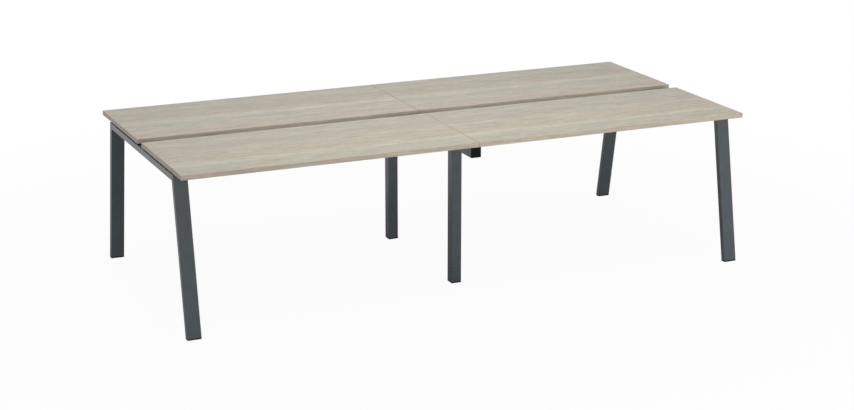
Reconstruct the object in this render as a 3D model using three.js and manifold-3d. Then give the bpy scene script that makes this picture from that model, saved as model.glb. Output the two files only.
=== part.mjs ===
// Benching desk for four: two rows of worktops back to back on a splayed steel frame.
// Millimetres, +Z up. The origin is on the floor under the middle of the desk, +X runs along the
// desk, and the front row lies on the -Y side of the cable gap.

import * as THREE from 'three';
import { mergeVertices } from 'three/addons/utils/BufferGeometryUtils.js';
import Module from 'manifold-3d';

const wasm = await Module();
wasm.setup();

// Worktops: faced chipboard with a strip of banding glued to each edge.
const DESK_HEIGHT = 744;
const WORKTOP_LENGTH = 1399;
const WORKTOP_DEPTH = 615;
const WORKTOP_THICKNESS = 22;
const SEAM_GAP = 2;
const CABLE_GAP = 70;
const BAND_THICKNESS = 2;
const BAND_RADIUS = 1;

// End frames: flat tube, its broad face to the front, splayed legs mitred into a level rail.
const END_TUBE_WIDTH = 65;
const END_TUBE_DEPTH = 30;
const END_RAIL_LENGTH = 1048;
const END_LEG_LEAN = 129.5;
const END_FRAME_INSET = 1;

// Middle frame: square tube, upright legs under a beam that carries the seam.
const MIDDLE_TUBE_SIZE = 50;
const MIDDLE_BEAM_LENGTH = 1229;
const MIDDLE_LEG_SPREAD = 815;

// All frame tubes.
const TUBE_WALL = 2;
const TUBE_RADIUS = 3;
const BORE_RADIUS = 1;

// Stretchers between the end frames and the middle frame, with a welded plate at each end.
const STRETCHER_WIDTH = 50;
const STRETCHER_HEIGHT = 30;
const STRETCHER_SPREAD = 600;
const PLATE_LENGTH = 110;
const PLATE_THICKNESS = 4;
const PLATE_RADIUS = 4;
const BOLT_SPACING = 80;
const BOLT_HOLE_DIAMETER = 9;
const VENT_DIAMETER = 12;

// Spacers that hold the worktops clear of the frame.
const SPACER_THICKNESS = 8;
const SPACER_LENGTH = 400;
const SPACER_WIDTH = 36;
const SPACER_RADIUS = 6;
const SPACER_SPREAD = 580;

// Caps in the open ends of the middle beam.
const CAP_THICKNESS = 4;
const CAP_INSERT = 22;

// Feet: an insert in the end of each leg, a stud that screws into it and the pad on the stud.
const PAD_THICKNESS = 4;
const PAD_CHAMFER = 0.8;
const INSERT_FLANGE = 2.5;
const INSERT_HEIGHT = 30;
const STUD_DIAMETER = 8;
const STUD_CHAMFER = 1;
const STUD_SEAT = 2.5;
const STUD_REACH = 30;
const STUD_CLEARANCE = 0.3;

// The least gap between a piece and the turned or fitted piece that it meets.
const FIT_GAP = 0.3;

// How finely round corners and holes are drawn, and how far a cutter runs past what it cuts.
const CORNER_STEPS = 2;
const HOLE_STEPS = 16;
const PLATE_STEPS = 5;
const CUT_MARGIN = 20;

// Levels and places that follow from the sizes above.
const FRAME_TOP = DESK_HEIGHT - WORKTOP_THICKNESS - SPACER_THICKNESS;
const LEG_BOTTOM = PAD_THICKNESS + INSERT_FLANGE + FIT_GAP;
const BEAM_BOTTOM = FRAME_TOP - MIDDLE_TUBE_SIZE;
const WORKTOP_X = (SEAM_GAP + WORKTOP_LENGTH) / 2;
const WORKTOP_Y = (CABLE_GAP + WORKTOP_DEPTH) / 2;
const END_FOOT_SPREAD = END_RAIL_LENGTH + 2 * END_LEG_LEAN;
const END_FRAME_X = SEAM_GAP / 2 + WORKTOP_LENGTH - END_FRAME_INSET - END_TUBE_WIDTH / 2;
const SPLAY = Math.atan2(END_LEG_LEAN, FRAME_TOP);
const INSERT_TOP = LEG_BOTTOM + INSERT_HEIGHT;

const SIDES = [['left', -1], ['right', 1]];
const ROWS = [['front', 0], ['rear', Math.PI]];

// Finishes.
const oakDecor = new THREE.MeshStandardMaterial({ color: 0xc6bbab, roughness: 0.55, metalness: 0 });
const oakBand = new THREE.MeshStandardMaterial({ color: 0xb3a796, roughness: 0.5, metalness: 0 });
const slatePowderCoat = new THREE.MeshStandardMaterial({ color: 0x50575b, roughness: 0.6, metalness: 0.1 });
const blackPlastic = new THREE.MeshStandardMaterial({ color: 0x17191a, roughness: 0.5, metalness: 0 });
const zincPlate = new THREE.MeshStandardMaterial({ color: 0xb9bcbf, roughness: 0.35, metalness: 1 });

// A closed geometry as a solid that can be joined and cut.
function solid(geometry) {
  const bare = geometry.clone();
  bare.deleteAttribute('normal');
  bare.deleteAttribute('uv');
  const merged = mergeVertices(bare);
  return new wasm.Manifold(new wasm.Mesh({
    numProp: 3,
    vertProperties: new Float32Array(merged.attributes.position.array),
    triVerts: new Uint32Array(merged.index.array),
  }));
}

// A solid back as a flat-shaded geometry.
function faceted(body) {
  const { vertProperties, triVerts, numProp } = body.getMesh();
  const geometry = new THREE.BufferGeometry();
  geometry.setAttribute('position', new THREE.BufferAttribute(new Float32Array(vertProperties), numProp));
  geometry.setIndex(new THREE.BufferAttribute(new Uint32Array(triVerts), 1));
  const flat = geometry.toNonIndexed();
  flat.computeVertexNormals();
  return flat;
}

// A rectangle with round corners, centred on the origin.
function roundedRectangle(width, depth, radius) {
  const x = width / 2 - radius;
  const y = depth / 2 - radius;
  const outline = new THREE.Shape();
  outline.absarc(x, y, radius, 0, Math.PI / 2);
  outline.absarc(-x, y, radius, Math.PI / 2, Math.PI);
  outline.absarc(-x, -y, radius, Math.PI, 1.5 * Math.PI);
  outline.absarc(x, -y, radius, 1.5 * Math.PI, 2 * Math.PI);
  outline.closePath();
  return outline;
}

function circle(x, y, diameter) {
  return new THREE.Path().absarc(x, y, diameter / 2, 0, 2 * Math.PI);
}

// A shape drawn up +Z from the ground plane.
function prism(shape, height, curveSegments = CORNER_STEPS) {
  return new THREE.ExtrudeGeometry(shape, { depth: height, bevelEnabled: false, curveSegments });
}

function cylinder(diameter, height) {
  const upright = new THREE.CylinderGeometry(diameter / 2, diameter / 2, height, HOLE_STEPS);
  return upright.rotateX(Math.PI / 2).translate(0, 0, height / 2);
}

// The section of a frame tube, open inside.
function tubeSection(width, depth) {
  const section = roundedRectangle(width, depth, TUBE_RADIUS);
  section.holes.push(boreSection(width, depth, 0));
  return section;
}

// The inside of that tube, or what fits in it with a gap all round.
function boreSection(width, depth, gap) {
  const inset = TUBE_WALL + gap;
  return roundedRectangle(width - 2 * inset, depth - 2 * inset, BORE_RADIUS);
}

// An outline in the side view (y, z) drawn through the whole width of a frame.
function sideCut(points) {
  const outline = new THREE.Shape(points.map(([y, z]) => new THREE.Vector2(y, z)));
  const width = Math.max(END_TUBE_WIDTH, MIDDLE_TUBE_SIZE) + 2 * CUT_MARGIN;
  const cutter = prism(outline, width).translate(0, 0, -width / 2);
  return solid(cutter.rotateX(Math.PI / 2).rotateZ(Math.PI / 2));
}

// The slab between two levels, wide enough to trim any leg.
function levelSlab(low, high) {
  const reach = END_FOOT_SPREAD;
  return sideCut([[-reach, low], [reach, low], [reach, high], [-reach, high]]);
}

// Where the outer face of the front end leg is at a level.
function legFaceY(z) {
  return -END_FOOT_SPREAD / 2 + z * Math.tan(SPLAY);
}

// The mitre in the side view: the line through the outer and the inner corner of leg and rail,
// drawn past both. The leg's side is lowered by the weld gap.
function mitreLine(lowered) {
  const innerZ = FRAME_TOP - END_TUBE_DEPTH;
  const outer = new THREE.Vector2(legFaceY(FRAME_TOP), FRAME_TOP - lowered);
  const inner = new THREE.Vector2(legFaceY(innerZ) + END_TUBE_DEPTH / Math.cos(SPLAY), innerZ - lowered);
  const past = inner.clone().sub(outer).setLength(CUT_MARGIN);
  return { above: outer.sub(past), below: inner.add(past) };
}

// One level end rail, along Y, cut to the mitre at both ends.
function endRailGeometry() {
  const tube = prism(tubeSection(END_TUBE_WIDTH, END_TUBE_DEPTH), END_FOOT_SPREAD);
  tube.translate(0, 0, -END_FOOT_SPREAD / 2).rotateX(-Math.PI / 2);
  tube.translate(0, 0, FRAME_TOP - END_TUBE_DEPTH / 2);
  const { above, below } = mitreLine(0);
  const keep = sideCut([
    [below.x, below.y], [-below.x, below.y], [-above.x, above.y], [above.x, above.y],
  ]);
  return faceted(solid(tube).intersect(keep));
}

// The front leg of an end frame, leaning in towards the rail and cut level above its foot.
function endLegGeometry() {
  const length = 2 * (FRAME_TOP + CUT_MARGIN) / Math.cos(SPLAY);
  const tube = prism(tubeSection(END_TUBE_WIDTH, END_TUBE_DEPTH), length);
  tube.translate(0, END_TUBE_DEPTH / 2, -length / 2).rotateX(-SPLAY).translate(0, legFaceY(0), 0);
  const { above, below } = mitreLine(FIT_GAP);
  const keep = sideCut([
    [legFaceY(0) - CUT_MARGIN, LEG_BOTTOM],
    [legFaceY(0) + END_TUBE_DEPTH + CUT_MARGIN, LEG_BOTTOM],
    [below.x, below.y],
    [above.x, above.y],
  ]);
  return faceted(solid(tube).intersect(keep));
}

// The beam of the middle frame, along Y, between its two caps.
function middleBeamGeometry() {
  const length = MIDDLE_BEAM_LENGTH - 2 * CAP_THICKNESS;
  const tube = prism(tubeSection(MIDDLE_TUBE_SIZE, MIDDLE_TUBE_SIZE), length);
  return tube.translate(0, 0, -length / 2).rotateX(Math.PI / 2);
}

function middleLegGeometry() {
  return prism(tubeSection(MIDDLE_TUBE_SIZE, MIDDLE_TUBE_SIZE), BEAM_BOTTOM - LEG_BOTTOM);
}

// The cap of the front end of the middle beam: a flush face on a block that fits the tube.
// Its back face, against the tube, is at the origin.
function beamCapGeometry() {
  const face = prism(roundedRectangle(MIDDLE_TUBE_SIZE, MIDDLE_TUBE_SIZE, TUBE_RADIUS), CAP_THICKNESS);
  const overlap = CAP_THICKNESS / 2;
  const block = prism(boreSection(MIDDLE_TUBE_SIZE, MIDDLE_TUBE_SIZE, FIT_GAP), CAP_INSERT + overlap);
  block.translate(0, 0, -CAP_INSERT);
  return faceted(solid(face).add(solid(block))).rotateX(Math.PI / 2);
}

// A stretcher along X between two faces that are span apart, with its centre at the origin.
// Each end plate has two bolt holes and a vent into the tube.
function stretcherGeometry(span) {
  const plate = roundedRectangle(STRETCHER_HEIGHT, PLATE_LENGTH, PLATE_RADIUS);
  plate.holes.push(circle(0, -BOLT_SPACING / 2, BOLT_HOLE_DIAMETER));
  plate.holes.push(circle(0, BOLT_SPACING / 2, BOLT_HOLE_DIAMETER));
  plate.holes.push(circle(0, 0, VENT_DIAMETER));
  const lowPlate = prism(plate, PLATE_THICKNESS, PLATE_STEPS);
  const highPlate = lowPlate.clone().translate(0, 0, span - PLATE_THICKNESS);
  const tubeLength = span - PLATE_THICKNESS;
  const tube = prism(tubeSection(STRETCHER_HEIGHT, STRETCHER_WIDTH), tubeLength);
  tube.translate(0, 0, PLATE_THICKNESS / 2);
  const welded = solid(tube).add(solid(lowPlate)).add(solid(highPlate));
  return faceted(welded).translate(0, 0, -span / 2).rotateY(Math.PI / 2);
}

function spacerGeometry() {
  return prism(roundedRectangle(SPACER_WIDTH, SPACER_LENGTH, SPACER_RADIUS), SPACER_THICKNESS);
}

// The insert of a leg that leans in by splay: a flush flange, and a block that follows the tube and
// takes the stud in an upright bore. The origin is on the floor, on the stud's axis.
function footInsertGeometry(width, depth, splay) {
  const flange = prism(roundedRectangle(width, depth / Math.cos(splay), TUBE_RADIUS), INSERT_FLANGE);
  flange.translate(0, 0, PAD_THICKNESS);
  const block = prism(boreSection(width, depth, FIT_GAP), 2 * INSERT_TOP);
  block.translate(0, 0, -INSERT_TOP).rotateX(-splay).translate(0, 0, LEG_BOTTOM);
  const trimmed = solid(block).intersect(levelSlab(PAD_THICKNESS + INSERT_FLANGE / 2, INSERT_TOP));
  const bore = cylinder(STUD_DIAMETER + 2 * STUD_CLEARANCE, 2 * INSERT_TOP);
  return faceted(solid(flange).add(trimmed).subtract(solid(bore)));
}

// The pad under a leg: the tube's outline with eased edges and a blind seat for the stud.
function footPadGeometry(width, depth) {
  const pad = new THREE.ExtrudeGeometry(roundedRectangle(width, depth, TUBE_RADIUS), {
    depth: PAD_THICKNESS - 2 * PAD_CHAMFER,
    bevelThickness: PAD_CHAMFER,
    bevelSize: PAD_CHAMFER,
    bevelOffset: -PAD_CHAMFER,
    bevelSegments: 1,
    curveSegments: CORNER_STEPS,
  });
  pad.translate(0, 0, PAD_CHAMFER);
  const seat = cylinder(STUD_DIAMETER + 2 * STUD_CLEARANCE, PAD_THICKNESS);
  seat.translate(0, 0, PAD_THICKNESS - STUD_SEAT);
  return faceted(solid(pad).subtract(solid(seat)));
}

// A stud from the bottom of its seat in the pad up into the insert.
function studGeometry() {
  const radius = STUD_DIAMETER / 2;
  const length = STUD_SEAT + STUD_REACH;
  const profile = [
    new THREE.Vector2(0, 0),
    new THREE.Vector2(radius, 0),
    new THREE.Vector2(radius, length - STUD_CHAMFER),
    new THREE.Vector2(radius - STUD_CHAMFER, length),
    new THREE.Vector2(0, length),
  ];
  return new THREE.LatheGeometry(profile, HOLE_STEPS).rotateX(Math.PI / 2);
}

// A strip of banding along X for an edge that faces -Y, with its inner face at y = 0, its bottom at
// z = 0 and its outer edges eased.
function bandGeometry(length) {
  const profile = new THREE.Shape();
  profile.moveTo(0, 0);
  profile.lineTo(0, WORKTOP_THICKNESS);
  profile.lineTo(-BAND_THICKNESS + BAND_RADIUS, WORKTOP_THICKNESS);
  const edge = -BAND_THICKNESS + BAND_RADIUS;
  profile.absarc(edge, WORKTOP_THICKNESS - BAND_RADIUS, BAND_RADIUS, Math.PI / 2, Math.PI);
  profile.absarc(edge, BAND_RADIUS, BAND_RADIUS, Math.PI, 1.5 * Math.PI);
  profile.closePath();
  const strip = prism(profile, length).translate(0, 0, -length / 2);
  return strip.rotateX(Math.PI / 2).rotateZ(Math.PI / 2);
}

const desk = new THREE.Group();

function addPiece(group, name, geometry, material) {
  const piece = new THREE.Mesh(geometry, material);
  piece.name = name;
  group.add(piece);
  return piece;
}

function addGroup(parent, x, y, z, turn = 0) {
  const group = new THREE.Group();
  group.position.set(x, y, z);
  group.rotation.z = turn;
  parent.add(group);
  return group;
}

// The insert, stud and pad under one leg.
function addFoot(parent, place, y, insert, pad) {
  const foot = addGroup(parent, 0, y, 0);
  addPiece(foot, `foot_insert_${place}`, insert, blackPlastic);
  addPiece(foot, `foot_pad_${place}`, pad, blackPlastic);
  addPiece(foot, `levelling_stud_${place}`, stud, zincPlate).position.z = PAD_THICKNESS - STUD_SEAT;
}

const stud = studGeometry();
const spacer = spacerGeometry();

// End frames. The rear leg of each is the front leg turned round.
const endRail = endRailGeometry();
const endLeg = endLegGeometry();
const endFootDepth = END_TUBE_DEPTH / Math.cos(SPLAY);
const endFootY = legFaceY(LEG_BOTTOM) + endFootDepth / 2;
const endInsert = footInsertGeometry(END_TUBE_WIDTH, END_TUBE_DEPTH, SPLAY);
const endPad = footPadGeometry(END_TUBE_WIDTH, endFootDepth);
for (const [side, sign] of SIDES) {
  const frame = addGroup(desk, sign * END_FRAME_X, 0, 0);
  addPiece(frame, `end_rail_${side}`, endRail, slatePowderCoat);
  for (const [row, turn] of ROWS) {
    const half = addGroup(frame, 0, 0, 0, turn);
    const place = `${row}_${side}`;
    addPiece(half, `end_leg_${place}`, endLeg, slatePowderCoat);
    addFoot(half, place, endFootY, endInsert, endPad);
    const pad = addPiece(half, `spacer_${place}`, spacer, blackPlastic);
    pad.position.set(0, -SPACER_SPREAD / 2, FRAME_TOP);
  }
}

// Middle frame.
const middleFrame = addGroup(desk, 0, 0, 0);
const middleBeam = addPiece(middleFrame, 'middle_beam', middleBeamGeometry(), slatePowderCoat);
middleBeam.position.z = FRAME_TOP - MIDDLE_TUBE_SIZE / 2;
const middleLeg = middleLegGeometry();
const middleLegY = -(MIDDLE_LEG_SPREAD - MIDDLE_TUBE_SIZE) / 2;
const middleInsert = footInsertGeometry(MIDDLE_TUBE_SIZE, MIDDLE_TUBE_SIZE, 0);
const middlePad = footPadGeometry(MIDDLE_TUBE_SIZE, MIDDLE_TUBE_SIZE);
const beamCap = beamCapGeometry();
for (const [row, turn] of ROWS) {
  const half = addGroup(middleFrame, 0, 0, 0, turn);
  const leg = addPiece(half, `middle_leg_${row}`, middleLeg, slatePowderCoat);
  leg.position.set(0, middleLegY, LEG_BOTTOM);
  addFoot(half, `${row}_middle`, middleLegY, middleInsert, middlePad);
  const cap = addPiece(half, `beam_cap_${row}`, beamCap, blackPlastic);
  cap.position.set(0, -MIDDLE_BEAM_LENGTH / 2 + CAP_THICKNESS, FRAME_TOP - MIDDLE_TUBE_SIZE / 2);
  const pad = addPiece(half, `spacer_${row}_middle`, spacer, blackPlastic);
  pad.position.set(0, -SPACER_SPREAD / 2, FRAME_TOP);
}

// Stretchers, level with the end rails and bolted between the frames.
const endFaceX = END_FRAME_X - END_TUBE_WIDTH / 2;
const middleFaceX = MIDDLE_TUBE_SIZE / 2;
const stretcher = stretcherGeometry(endFaceX - middleFaceX);
for (const [side, sign] of SIDES) {
  for (const [row, turn] of ROWS) {
    const piece = addPiece(desk, `stretcher_${row}_${side}`, stretcher, slatePowderCoat);
    piece.position.x = sign * (endFaceX + middleFaceX) / 2;
    piece.position.y = -Math.cos(turn) * STRETCHER_SPREAD / 2;
    piece.position.z = FRAME_TOP - STRETCHER_HEIGHT / 2;
  }
}

// Worktops. Each panel carries long strips over its whole length and short ones between them.
const panelLength = WORKTOP_LENGTH - 2 * BAND_THICKNESS;
const panelDepth = WORKTOP_DEPTH - 2 * BAND_THICKNESS;
const panel = new THREE.BoxGeometry(panelLength, panelDepth, WORKTOP_THICKNESS);
panel.translate(0, 0, WORKTOP_THICKNESS / 2);
const longBand = bandGeometry(WORKTOP_LENGTH);
const shortBand = bandGeometry(panelDepth);
for (const [side, sign] of SIDES) {
  for (const [row, turn] of ROWS) {
    const place = `${row}_${side}`;
    const y = -Math.cos(turn) * WORKTOP_Y;
    const top = addGroup(desk, sign * WORKTOP_X, y, DESK_HEIGHT - WORKTOP_THICKNESS);
    addPiece(top, `worktop_${place}`, panel, oakDecor);
    const edges = [
      ['user', longBand, turn, panelDepth / 2],
      ['gap', longBand, turn + Math.PI, panelDepth / 2],
      ['end', shortBand, sign * Math.PI / 2, panelLength / 2],
      ['seam', shortBand, -sign * Math.PI / 2, panelLength / 2],
    ];
    for (const [edge, band, edgeTurn, reach] of edges) {
      const holder = addGroup(top, 0, 0, 0, edgeTurn);
      addPiece(holder, `edge_band_${place}_${edge}`, band, oakBand).position.y = -reach;
    }
  }
}

export default desk;
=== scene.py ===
import math

import bmesh
import bpy
from mathutils import Matrix, Vector


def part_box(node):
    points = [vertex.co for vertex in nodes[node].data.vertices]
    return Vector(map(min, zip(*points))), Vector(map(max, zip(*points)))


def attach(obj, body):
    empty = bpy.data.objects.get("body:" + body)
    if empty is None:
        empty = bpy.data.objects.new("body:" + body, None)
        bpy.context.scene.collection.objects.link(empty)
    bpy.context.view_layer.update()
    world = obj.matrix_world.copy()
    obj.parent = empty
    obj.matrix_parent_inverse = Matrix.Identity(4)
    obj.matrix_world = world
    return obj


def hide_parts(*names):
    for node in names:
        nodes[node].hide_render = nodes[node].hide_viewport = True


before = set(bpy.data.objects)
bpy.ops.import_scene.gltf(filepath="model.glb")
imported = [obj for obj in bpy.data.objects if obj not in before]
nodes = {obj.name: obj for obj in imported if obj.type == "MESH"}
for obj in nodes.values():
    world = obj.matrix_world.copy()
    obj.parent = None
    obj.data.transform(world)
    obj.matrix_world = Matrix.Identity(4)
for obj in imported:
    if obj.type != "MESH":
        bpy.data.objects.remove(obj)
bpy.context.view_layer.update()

# End frames: flat steel tube, two splayed legs mitred and welded to a level rail.
# The welds are ground flush outside, and the whole frame is blasted and powder-coated
# in one piece, so only the small fillet in the inside corner still shows as a weld.
MM = 0.001
ROWS = ("front", "rear")
ENDS = ("left", "right")


def linear(hex_colour):
    """An sRGB hex colour as the linear RGBA that a shader takes."""
    channels = [int(hex_colour[i:i + 2], 16) / 255 for i in (1, 3, 5)]
    bent = [c / 12.92 if c <= 0.04045 else ((c + 0.055) / 1.055) ** 2.4 for c in channels]
    return (*bent, 1.0)


def add_node(tree, kind, settings=None, **links):
    """Adds a shader node, with its settings, and its inputs as values or as other nodes' outputs."""
    node = tree.nodes.new("ShaderNode" + kind)
    for name, value in (settings or {}).items():
        setattr(node, name, value)
    for name, value in links.items():
        key = int(name[1:]) if name[0] == "i" and name[1:].isdigit() else name.replace("_", " ")
        socket = node.inputs[key]
        if isinstance(value, bpy.types.NodeSocket):
            tree.links.new(value, socket)
        else:
            socket.default_value = value
    return node


def new_material(name, **values):
    """A material with its Principled shader ready, returned with its tree and shader."""
    material = bpy.data.materials.new(name)
    material.use_nodes = True
    tree = material.node_tree
    shader = tree.nodes["Principled BSDF"]
    for socket, value in values.items():
        shader.inputs[socket.replace("_", " ")].default_value = value
    return material, tree, shader


def give(material, *names):
    """Puts one material on CAD nodes."""
    for name in names:
        nodes[name].data.materials.clear()
        nodes[name].data.materials.append(material)


# Fine-texture polyester powder coat: cured grit gives a satin surface with a faint orange peel.
# The real grain is about 0.4 mm, too fine to show here, so it is drawn at 1.6 mm.
POWDER_GRAIN = 1.6 * MM
POWDER_MOTTLE = 45 * MM
powder_coat, tree, shader = new_material("slate_powder_coat", IOR=1.65)
point = add_node(tree, "TexCoord").outputs["Object"]
mottle = add_node(tree, "TexNoise", Vector=point, Scale=1 / POWDER_MOTTLE, Detail=3, Roughness=0.55)
tone = add_node(tree, "ValToRGB", Fac=mottle.outputs["Fac"])
tone.color_ramp.elements[0].position = 0.3
tone.color_ramp.elements[0].color = linear("#333d41")
tone.color_ramp.elements[1].position = 0.7
tone.color_ramp.elements[1].color = linear("#3b464a")
tree.links.new(tone.outputs["Color"], shader.inputs["Base Color"])
grain = add_node(tree, "TexNoise", Vector=point, Scale=1 / POWDER_GRAIN, Detail=2, Roughness=0.55)
gloss = add_node(tree, "MapRange", Value=grain.outputs["Fac"], To_Min=0.28, To_Max=0.4)
tree.links.new(gloss.outputs[0], shader.inputs["Roughness"])
peel = add_node(tree, "Bump", Height=grain.outputs["Fac"], Strength=0.12, Distance=0.3 * MM)
tree.links.new(peel.outputs["Normal"], shader.inputs["Normal"])

for end in ENDS:
    give(powder_coat, f"end_rail_{end}", *[f"end_leg_{row}_{end}" for row in ROWS])


def finish_piece(name, mesh, material, body, smooth_angle=35):
    """Makes a bmesh into a piece that rides on a body, with soft shading across gentle edges."""
    bmesh.ops.remove_doubles(mesh, verts=mesh.verts, dist=1e-6)
    bmesh.ops.recalc_face_normals(mesh, faces=mesh.faces)
    for face in mesh.faces:
        face.smooth = True
    for edge in mesh.edges:
        edge.smooth = edge.calc_face_angle(0) < math.radians(smooth_angle)
    data = bpy.data.meshes.new(name)
    mesh.to_mesh(data)
    mesh.free()
    data.materials.append(material)
    piece = bpy.data.objects.new(name, data)
    bpy.context.scene.collection.objects.link(piece)
    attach(piece, body)
    return piece


def grow(mesh, face, first=False):
    """Extrudes a face and returns the new one. Only a first face stays, as the piece's other end."""
    grown = bmesh.ops.extrude_face_region(mesh, geom=[face])
    if not first:
        bmesh.ops.delete(mesh, geom=[face], context="FACES_ONLY")
    return [part for part in grown["geom"] if isinstance(part, bmesh.types.BMFace)][0]


def add_bead(mesh, start, end, radius):
    """Adds a fillet weld between two points: a bar with the low ripples of the weld pool."""
    start, end = Vector(start), Vector(end)
    ripple, swell, steps = 2.2 * MM, 0.06, 4
    count = steps * max(4, round((end - start).length / ripple))
    made = bmesh.ops.create_circle(mesh, segments=12, radius=radius, cap_ends=True)
    ring = made["verts"]
    turn = (end - start).to_track_quat("Z", "Y").to_matrix().to_4x4()
    bmesh.ops.transform(mesh, matrix=Matrix.Translation(start) @ turn, verts=ring)
    face = ring[0].link_faces[0]
    size = 1.0
    for step in range(1, count + 1):
        face = grow(mesh, face, step == 1)
        verts = list(face.verts)
        bmesh.ops.translate(mesh, vec=(end - start) / count, verts=verts)
        middle = sum((v.co for v in verts), Vector()) / len(verts)
        wanted = 1 + swell * math.sin(2 * math.pi * step / steps)
        bmesh.ops.scale(mesh, vec=(wanted / size,) * 3, verts=verts, space=Matrix.Translation(-middle))
        size = wanted


BEAD_RADIUS = 2.4 * MM
TUBE_CORNER = 3 * MM
WELD_GAP = 0.4 * MM
WELD_STAND = 0.1 * MM
WELD_DEPTH = 2 * MM
for end in ENDS:
    rail_low, rail_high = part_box(f"end_rail_{end}")
    welds = bmesh.new()
    for row, sign in zip(ROWS, (-1, 1)):
        leg_low, leg_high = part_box(f"end_leg_{row}_{end}")
        inner_y = leg_high.y if sign < 0 else leg_low.y
        outer_y = rail_low.y if sign < 0 else rail_high.y
        add_bead(welds, (rail_low.x + TUBE_CORNER, inner_y, rail_low.z),
                 (rail_high.x - TUBE_CORNER, inner_y, rail_low.z), BEAD_RADIUS)
        middle_x = (rail_low.x + rail_high.x) / 2
        outer = Vector((middle_x, outer_y, rail_high.z))
        inner = Vector((middle_x, inner_y, rail_low.z))
        mitre = inner - outer
        seam = bmesh.ops.create_grid(welds, x_segments=1, y_segments=1, size=0.5)["verts"]
        size = (rail_high.x - rail_low.x + 2 * WELD_STAND, mitre.length + 2 * WELD_STAND, 1)
        bmesh.ops.scale(welds, vec=size, verts=seam)
        rounded = bmesh.ops.bevel(welds, geom=seam, offset=TUBE_CORNER, affect="VERTICES",
                                  segments=3, profile=0.5, material=-1)
        beside = [v.link_faces[0] for v in rounded["verts"]]
        face = max(rounded["faces"] + beside, key=lambda f: f.calc_area())
        ring = bmesh.ops.inset_region(welds, faces=[face], thickness=WELD_DEPTH)["faces"]
        bmesh.ops.delete(welds, geom=[face], context="FACES_ONLY")
        grown = bmesh.ops.extrude_face_region(welds, geom=ring, use_keep_orig=True)
        raised = [part for part in grown["geom"] if isinstance(part, bmesh.types.BMVert)]
        bmesh.ops.translate(welds, vec=(0, 0, WELD_GAP), verts=raised)
        seam = list({vert for side in ring for vert in side.verts} | set(raised))
        across = mitre.normalized()
        normal = Vector((1, 0, 0)).cross(across)
        turn = Matrix((Vector((1, 0, 0)), across, normal)).transposed().to_4x4()
        centre = (outer + inner) / 2 - normal * WELD_GAP / 2
        bmesh.ops.transform(welds, matrix=Matrix.Translation(centre) @ turn, verts=seam)
    finish_piece(f"mitre_welds_{end}", welds, powder_coat, "desk")


# Middle frame: square steel tube, a beam under the seam on two upright legs, welded all round
# and coated like the end frames. Its beam runs on past the legs to carry the worktops' edges.
# Beside each leg the weld fills the groove that the beam's round corner leaves.
give(powder_coat, "middle_beam", "middle_leg_front", "middle_leg_rear")
beam_low, beam_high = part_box("middle_beam")
GROOVE_INSET = 1.1 * MM
GROOVE_RADIUS = 1.3 * MM
welds = bmesh.new()
for row in ROWS:
    leg_low, leg_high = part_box(f"middle_leg_{row}")
    for y in (leg_low.y, leg_high.y):
        add_bead(welds, (leg_low.x + TUBE_CORNER, y, beam_low.z),
                 (leg_high.x - TUBE_CORNER, y, beam_low.z), BEAD_RADIUS)
    for x in (leg_low.x + GROOVE_INSET, leg_high.x - GROOVE_INSET):
        add_bead(welds, (x, leg_low.y + TUBE_CORNER, beam_low.z + GROOVE_INSET),
                 (x, leg_high.y - TUBE_CORNER, beam_low.z + GROOVE_INSET), GROOVE_RADIUS)
finish_piece("middle_frame_welds", welds, powder_coat, "desk")


# Beam caps: injection-moulded polypropylene pressed into the open ends of the middle beam.
# The face is flush with the tube and has an eased rim, and moulding leaves it a fine matt grain,
# which is about 0.3 mm and drawn at 1.2 mm so that it shows.
PLASTIC_GRAIN = 1.2 * MM
black_plastic, tree, shader = new_material("black_moulded_polypropylene", Specular_IOR_Level=0.12)
point = add_node(tree, "TexCoord").outputs["Object"]
grain = add_node(tree, "TexNoise", Vector=point, Scale=1 / PLASTIC_GRAIN, Detail=2, Roughness=0.55)
tone = add_node(tree, "ValToRGB", Fac=grain.outputs["Fac"])
tone.color_ramp.elements[0].color = linear("#070b0e")
tone.color_ramp.elements[1].color = linear("#10161a")
tree.links.new(tone.outputs["Color"], shader.inputs["Base Color"])
gloss = add_node(tree, "MapRange", Value=grain.outputs["Fac"], To_Min=0.42, To_Max=0.62)
tree.links.new(gloss.outputs[0], shader.inputs["Roughness"])
pits = add_node(tree, "Bump", Height=grain.outputs["Fac"], Strength=0.15, Distance=0.2 * MM)
tree.links.new(pits.outputs["Normal"], shader.inputs["Normal"])

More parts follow.
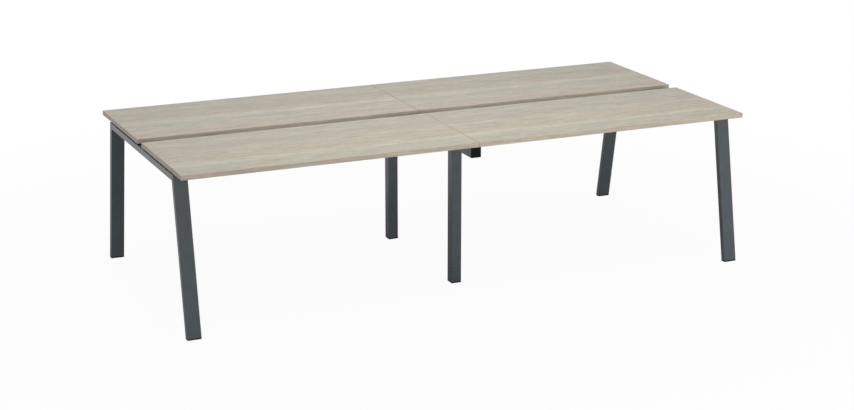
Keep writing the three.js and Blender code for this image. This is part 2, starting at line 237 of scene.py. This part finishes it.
CAP_RIM = 1.2 * MM
PLUG_INSET = 2.4 * MM
for row, sign in zip(ROWS, (-1, 1)):
    low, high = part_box(f"beam_cap_{row}")
    tube_end = beam_low.y if sign < 0 else beam_high.y
    tip = low.y if sign < 0 else high.y
    width = high.x - low.x
    cap = bmesh.new()
    bmesh.ops.create_cube(cap, size=1)
    bmesh.ops.scale(cap, vec=(width, abs(tip - tube_end), width), verts=cap.verts)
    posts = [e for e in cap.edges if abs((e.verts[0].co - e.verts[1].co).y) > 1e-6]
    bmesh.ops.bevel(cap, geom=posts, offset=TUBE_CORNER, affect="EDGES",
                    segments=4, profile=0.5, material=-1)
    face = max(cap.faces, key=lambda f: sign * f.calc_center_median().y)
    rim = list(face.edges)
    bmesh.ops.bevel(cap, geom=rim, offset=CAP_RIM, affect="EDGES",
                    segments=3, profile=0.5, material=-1)
    back = min(cap.faces, key=lambda f: sign * f.calc_center_median().y)
    bmesh.ops.inset_region(cap, faces=[back], thickness=PLUG_INSET)
    plug_end = grow(cap, back)
    inside = (high.y - low.y) - abs(tip - tube_end)
    bmesh.ops.translate(cap, vec=(0, -sign * inside, 0), verts=plug_end.verts)
    middle = ((low.x + high.x) / 2, (tip + tube_end) / 2, (low.z + high.z) / 2)
    bmesh.ops.translate(cap, vec=middle, verts=cap.verts)
    piece = finish_piece(f"beam_cap_face_{row}", cap, black_plastic, "desk")
    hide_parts(f"beam_cap_{row}")


# Stretchers: flat steel tube with a plate welded across each end, coated before assembly.
# Two button-head M8 screws hold each plate to rivet nuts in the end rail or the middle beam.
give(powder_coat, *[f"stretcher_{row}_{end}" for row in ROWS for end in ENDS])

# Bright zinc plate: electroplated steel, a cool mirror that the drawn wire under it clouds in
# patches of about 3 mm.
ZINC_GRAIN = 3 * MM
zinc, tree, shader = new_material("bright_zinc_plate", Metallic=1.0)
point = add_node(tree, "TexCoord").outputs["Object"]
bloom = add_node(tree, "TexNoise", Vector=point, Scale=1 / ZINC_GRAIN, Detail=2, Roughness=0.55)
tone = add_node(tree, "ValToRGB", Fac=bloom.outputs["Fac"])
tone.color_ramp.elements[0].color = linear("#a3a8ad")
tone.color_ramp.elements[1].color = linear("#c8ccd0")
tree.links.new(tone.outputs["Color"], shader.inputs["Base Color"])
gloss = add_node(tree, "MapRange", Value=bloom.outputs["Fac"], To_Min=0.24, To_Max=0.42)
tree.links.new(gloss.outputs[0], shader.inputs["Roughness"])


# Shares of a screw head: height and radius of each ring of its dome, and its socket's depth.
HEAD_DOME = ((0.35, 1.0), (0.7, 0.9), (0.92, 0.74), (1.0, 0.55))
SOCKET_DEPTH = 0.6


def add_screw_head(mesh, place, out, radius, height, socket):
    """Adds a domed screw head with a hexagon socket, standing on a face that looks along out."""
    turn = Vector(out).to_track_quat("Z", "Y").to_matrix().to_4x4()
    where = Matrix.Translation(Vector(place)) @ turn
    seat = bmesh.ops.create_circle(mesh, segments=24, radius=radius, cap_ends=True)["verts"]
    face = seat[0].link_faces[0]
    parts = set(seat)
    for level, share in HEAD_DOME:
        face = grow(mesh, face, len(parts) == len(seat))
        for vert in face.verts:
            flat = Vector((vert.co.x, vert.co.y, 0)).normalized()
            vert.co = flat * radius * share + Vector((0, 0, height * level))
        parts.update(face.verts)
    for depth in (0, SOCKET_DEPTH):
        face = grow(mesh, face)
        for vert in face.verts:
            angle = math.atan2(vert.co.y, vert.co.x)
            side = (angle % (math.pi / 3)) - math.pi / 6
            reach = socket / 2 / math.cos(side)
            vert.co = Vector((reach * math.cos(angle), reach * math.sin(angle), height * (1 - depth)))
        parts.update(face.verts)
    bmesh.ops.transform(mesh, matrix=where, verts=list(parts))


PLATE_THICKNESS = 4 * MM
BOLT_SPACING = 80 * MM
M8_HEAD_RADIUS, M8_HEAD_HEIGHT, M8_SOCKET = 7 * MM, 4.4 * MM, 5 * MM
for end in ENDS:
    bolts = bmesh.new()
    for row in ROWS:
        low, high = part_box(f"stretcher_{row}_{end}")
        for x, out in ((low.x + PLATE_THICKNESS, 1), (high.x - PLATE_THICKNESS, -1)):
            for step in (-0.5, 0.5):
                place = (x, (low.y + high.y) / 2 + step * BOLT_SPACING, (low.z + high.z) / 2)
                add_screw_head(bolts, place, (out, 0, 0), M8_HEAD_RADIUS, M8_HEAD_HEIGHT, M8_SOCKET)
    finish_piece(f"stretcher_screws_{end}", bolts, zinc, "desk")


# Feet: a moulded insert pushed into the open end of each leg, with a nut for the levelling stud.
# The pad is moulded to the outline of the tube and stays square to it while the stud is turned.
PLACES = ("left", "middle", "right")
for row in ROWS:
    for place in PLACES:
        spot = f"{row}_{place}"
        give(black_plastic, f"foot_insert_{spot}", f"foot_pad_{spot}")

# Levelling studs: M8 rod with a rolled thread, zinc-plated, moulded into the pad.
THREAD_PITCH = 1.25 * MM
THREAD_DEPTH = 0.77 * MM
THREAD_SIDES = 20
THREAD_CREASE = 20
for row in ROWS:
    for place in PLACES:
        spot = f"{row}_{place}"
        low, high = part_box(f"levelling_stud_{spot}")
        radius = (high.x - low.x) / 2
        stud = bmesh.new()
        rod = bmesh.ops.create_circle(stud, segments=THREAD_SIDES, radius=radius, cap_ends=True)["verts"]
        face = rod[0].link_faces[0]
        rise = THREAD_PITCH / 2
        levels = math.floor((high.z - low.z) / rise)
        for level in range(1, levels + 1):
            face = grow(stud, face, level == 1)
            verts = list(face.verts)
            root = radius - THREAD_DEPTH
            shrink = root / radius if level % 2 else radius / root
            bmesh.ops.translate(stud, vec=(0, 0, rise), verts=verts)
            bmesh.ops.scale(stud, vec=(shrink, shrink, 1), verts=verts)
        bmesh.ops.translate(stud, vec=((low.x + high.x) / 2, (low.y + high.y) / 2, low.z), verts=stud.verts)
        piece = finish_piece(f"threaded_stud_{spot}", stud, zinc, f"foot_{spot}",
                             smooth_angle=THREAD_CREASE)
        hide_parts(f"levelling_stud_{spot}")


# Spacers: black moulded strips on the rails and the beam, which leave a shadow gap all round.
# Domed socket screws come up through the tubes and the strips into the worktops.
give(black_plastic, *[f"spacer_{row}_{place}" for row in ROWS for place in PLACES])
SCREW_HEAD_RADIUS, SCREW_HEAD_HEIGHT, SCREW_SOCKET = 5.5 * MM, 3 * MM, 4 * MM
SCREW_INSET = 50 * MM
SEAM_OFFSET = 11 * MM
screws = bmesh.new()
for row in ROWS:
    for place in PLACES:
        low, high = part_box(f"spacer_{row}_{place}")
        tube_low = beam_low if place == "middle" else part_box(f"end_rail_{place}")[0]
        offsets = (-SEAM_OFFSET, SEAM_OFFSET) if place == "middle" else (0,)
        for y in (low.y + SCREW_INSET, high.y - SCREW_INSET):
            for offset in offsets:
                spot = ((low.x + high.x) / 2 + offset, y, tube_low.z)
                add_screw_head(screws, spot, (0, 0, -1),
                               SCREW_HEAD_RADIUS, SCREW_HEAD_HEIGHT, SCREW_SOCKET)
finish_piece("worktop_screws", screws, zinc, "desk")


# Worktops: 22 mm chipboard faced on both sides with a printed melamine foil, pressed matt.
# The print is a bleached oak: broad warm and grey-green bands lie along the board, with a cream
# streak where two of them meet, and a finer figure of short strokes runs all over them.
DECOR_BANDS = (
    (-650, "warm"), (-575, "cool"), (-545, "cool"), (-502, "cream"), (-450, "warm"), (-375, "warm"),
    (-290, "pale"), (-210, "dull"), (-150, "pale"), (-85, "cool"), (60, "warm"), (130, "warm"),
    (170, "pale"), (265, "cool"), (322, "cream"), (375, "warm"), (480, "dull"), (560, "pale"),
    (630, "cool"),
)
DECOR_SHADES = {
    "warm": "#beb4a0",
    "cool": "#b9b6a5",
    "cream": "#cac4b2",
    "pale": "#c0b9a8",
    "dull": "#b8b0a0",
}
DECOR_WIDTH = 1300

# Strokes of the print: width and length in mm, and how far each lightens and darkens the ground.
# The last is the pressed grain, which the gloss and the relief follow too.
OAK_STROKES = ((11, 143, 0.16), (7, 35, 0.13), (1.5, 24, 0.08), (4, 180, 0.1))
BLUSH_WIDTH, BLUSH_LENGTH = 30, 420
BLUSH_TINT = "#bcab99"
MELAMINE_ROUGHNESS = 0.5


def grain_scale(along, width, length):
    """The scale of a pattern whose strokes lie along one axis, from their size in mm."""
    scale = [1 / (width * MM)] * 3
    scale[along] = 1 / (length * MM)
    return scale


def add_figure(tree, point, along, ground, narrow=1):
    """Lays the oak's figure and grain over a ground colour, and returns the colour and the grain.

    A narrow of more than 1 keeps the strokes' lengths and makes them finer.
    """
    mapped = add_node(tree, "Mapping", Vector=point,
                      Scale=grain_scale(along, BLUSH_WIDTH / narrow, BLUSH_LENGTH))
    blush = add_node(tree, "TexNoise", Vector=mapped.outputs[0], Scale=1.0, Detail=3, Roughness=0.55)
    share = add_node(tree, "MapRange", Value=blush.outputs["Fac"],
                     From_Min=0.46, From_Max=0.72, To_Max=0.25)
    drawn = add_node(tree, "MixRGB", Fac=share.outputs[0], Color1=ground, Color2=linear(BLUSH_TINT))
    for width, length, depth in OAK_STROKES:
        mapped = add_node(tree, "Mapping", Vector=point,
                          Scale=grain_scale(along, width / narrow, length))
        grain = add_node(tree, "TexNoise", Vector=mapped.outputs[0], Scale=1.0, Detail=4, Roughness=0.55)
        light = add_node(tree, "MapRange", Value=grain.outputs["Fac"],
                         From_Min=0.3, From_Max=0.7, To_Min=1 - depth, To_Max=1 + depth)
        drawn = add_node(tree, "MixRGB", {"blend_type": "MULTIPLY"}, Fac=1.0,
                         Color1=drawn.outputs[0], Color2=light.outputs[0])
    return drawn.outputs[0], grain.outputs["Fac"]


def finish_oak(tree, shader, colour, grain, rough):
    """Joins the print to its shader, with gloss and a shallow pressed grain that follow it."""
    tree.links.new(colour, shader.inputs["Base Color"])
    gloss = add_node(tree, "MapRange", Value=grain, To_Min=rough - 0.08, To_Max=rough + 0.08)
    tree.links.new(gloss.outputs[0], shader.inputs["Roughness"])
    relief = add_node(tree, "Bump", Height=grain, Strength=0.1, Distance=0.15 * MM)
    tree.links.new(relief.outputs["Normal"], shader.inputs["Normal"])


melamine, tree, shader = new_material("bleached_oak_melamine", IOR=1.5)
point = add_node(tree, "TexCoord").outputs["Object"]
WAVER_WIDTH, WAVER_LENGTH, WAVER_REACH = 90, 1080, 25
mapped = add_node(tree, "Mapping", Vector=point, Scale=grain_scale(0, WAVER_WIDTH, WAVER_LENGTH))
waver = add_node(tree, "TexNoise", Vector=mapped.outputs[0], Scale=1.0, Detail=2, Roughness=0.55)
sway = add_node(tree, "MapRange", Value=waver.outputs["Fac"],
                To_Min=-WAVER_REACH * MM, To_Max=WAVER_REACH * MM)
across = add_node(tree, "SeparateXYZ", Vector=point)
swayed = add_node(tree, "Math", {"operation": "ADD"}, i0=across.outputs["Y"], i1=sway.outputs[0])
place = add_node(tree, "MapRange", Value=swayed.outputs[0],
                 From_Min=-DECOR_WIDTH / 2 * MM, From_Max=DECOR_WIDTH / 2 * MM)
bands = add_node(tree, "ValToRGB", Fac=place.outputs[0])
stops = bands.color_ramp.elements
while len(stops) < len(DECOR_BANDS):
    stops.new(0.5)
for stop, (offset, shade) in zip(stops, DECOR_BANDS):
    stop.position = offset / DECOR_WIDTH + 0.5
    stop.color = linear(DECOR_SHADES[shade])
finish_oak(tree, shader, *add_figure(tree, point, 0, bands.outputs[0]), MELAMINE_ROUGHNESS)
give(melamine, *[f"worktop_{row}_{end}" for row in ROWS for end in ENDS])


# Edge bands: 2 mm ABS strip printed to match, glued on hot and trimmed to a small radius.
# Each strip's figure runs along it, in finer strokes than on the worktops.
DRIFT_WIDTH, DRIFT_LENGTH = 60, 360
BAND_FINENESS = 2.5
BAND_ROUGHNESS = 0.45


def band_material(name, along):
    """The printed strip with its figure along one axis."""
    material, tree, shader = new_material(name, IOR=1.5)
    point = add_node(tree, "TexCoord").outputs["Object"]
    mapped = add_node(tree, "Mapping", Vector=point, Scale=grain_scale(along, DRIFT_WIDTH, DRIFT_LENGTH))
    drift = add_node(tree, "TexNoise", Vector=mapped.outputs[0], Scale=1.0, Detail=2, Roughness=0.55)
    ground = add_node(tree, "ValToRGB", Fac=drift.outputs["Fac"])
    ground.color_ramp.elements[0].position = 0.35
    ground.color_ramp.elements[0].color = linear("#b7ad9c")
    ground.color_ramp.elements[1].position = 0.65
    ground.color_ramp.elements[1].color = linear("#c2b7a5")
    figure = add_figure(tree, point, along, ground.outputs[0], BAND_FINENESS)
    finish_oak(tree, shader, *figure, BAND_ROUGHNESS)
    return material


long_band = band_material("oak_abs_band_long", 0)
short_band = band_material("oak_abs_band_short", 1)
for row in ROWS:
    for end in ENDS:
        give(long_band, f"edge_band_{row}_{end}_user", f"edge_band_{row}_{end}_gap")
        give(short_band, f"edge_band_{row}_{end}_end", f"edge_band_{row}_{end}_seam")


# Studio: a white floor that runs out of sight, with only a trace of the desk's shadow.
# It lies as low as the feet reach when they are screwed right out, so that none sinks into it.
FLOOR_SIZE = 60
FLOOR_DROP = 10.2 * MM
floor_paint, tree, shader = new_material("white_studio_floor", Roughness=0.9)
shader.inputs["Base Color"].default_value = linear("#e1e1e1")
eye = add_node(tree, "LightPath")
point = add_node(tree, "TexCoord").outputs["Object"]
away = add_node(tree, "VectorMath", {"operation": "LENGTH"}, i0=point)
fade = add_node(tree, "MapRange", {"interpolation_type": "SMOOTHSTEP"}, Value=away.outputs["Value"],
                From_Min=1.0, From_Max=4.0, To_Min=0.95, To_Max=1.0)
direct = add_node(tree, "Math", {"operation": "MULTIPLY"},
                  i0=eye.outputs["Is Camera Ray"], i1=fade.outputs[0])
mirror = add_node(tree, "MapRange", Value=away.outputs["Value"],
                  From_Min=1.1, From_Max=3.4, To_Min=0.16, To_Max=1.0)
share = add_node(tree, "Math", {"operation": "MULTIPLY_ADD"},
                 i0=eye.outputs["Is Glossy Ray"], i1=mirror.outputs[0], i2=direct.outputs[0])
glow = add_node(tree, "Emission", Strength=1.0)
mixed = add_node(tree, "MixShader", Fac=share.outputs[0], i1=shader.outputs[0], i2=glow.outputs[0])
tree.links.new(mixed.outputs[0], tree.nodes["Material Output"].inputs["Surface"])
ground = bmesh.new()
bmesh.ops.create_grid(ground, x_segments=1, y_segments=1, size=FLOOR_SIZE / 2)
bmesh.ops.translate(ground, vec=(0, 0, -FLOOR_DROP), verts=ground.verts)
data = bpy.data.meshes.new("floor")
ground.to_mesh(data)
ground.free()
data.materials.append(floor_paint)
floor = bpy.data.objects.new("floor", data)
bpy.context.scene.collection.objects.link(floor)

# The world is white to the eye and in reflections, and a softer fill for everything else.
world = bpy.data.worlds.new("studio")
bpy.context.scene.world = world
world.use_nodes = True
tree = world.node_tree
eye = add_node(tree, "LightPath")
seen = add_node(tree, "Math", {"operation": "MAXIMUM"}, i0=eye.outputs["Is Camera Ray"],
                i1=eye.outputs["Is Glossy Ray"])
FILL = 0.3
level = add_node(tree, "MapRange", Value=seen.outputs[0], To_Min=FILL, To_Max=1.0)
tree.links.new(level.outputs[0], tree.nodes["Background"].inputs["Strength"])
tree.nodes["Background"].inputs["Color"].default_value = (1, 1, 1, 1)


# Lights: a large softbox overhead, and a low one in front of the right end for the upright faces.
def add_softbox(name, place, aim, width, height, power):
    """An area light of a size in metres and a power in watts, turned towards a point."""
    lamp = bpy.data.lights.new(name, "AREA")
    lamp.shape = "RECTANGLE"
    lamp.size = width
    lamp.size_y = height
    lamp.energy = power
    holder = bpy.data.objects.new(name, lamp)
    holder.location = place
    holder.rotation_euler = (Vector(aim) - Vector(place)).to_track_quat("-Z", "Y").to_euler()
    bpy.context.scene.collection.objects.link(holder)
    return holder


add_softbox("overhead_softbox", (-0.15, -0.95, 3.8), (0, 0, 0.7), 2.5, 1.8, 65)
front = add_softbox("front_softbox", (2.8, -5.3, 1.0), (0.7, -0.6, 0.6), 3.5, 1.4, 128)
front.visible_glossy = False

# Camera: a long lens, well back and above, looking along the desk from its left front corner.
camera = bpy.data.cameras.new("camera")
FOCAL_PIXELS = 1899
FRAME_PIXELS = 854
camera.lens = FOCAL_PIXELS / FRAME_PIXELS * camera.sensor_width
camera_object = bpy.data.objects.new("camera", camera)
camera_object.location = (-3.587, -8.161, 2.885)
TURN, TILT = 23.89, 16.315
camera_object.rotation_euler = (math.radians(90 - TILT), 0, -math.radians(TURN))
bpy.context.scene.collection.objects.link(camera_object)
bpy.context.scene.camera = camera_object
bpy.context.scene.view_settings.view_transform = "Standard"
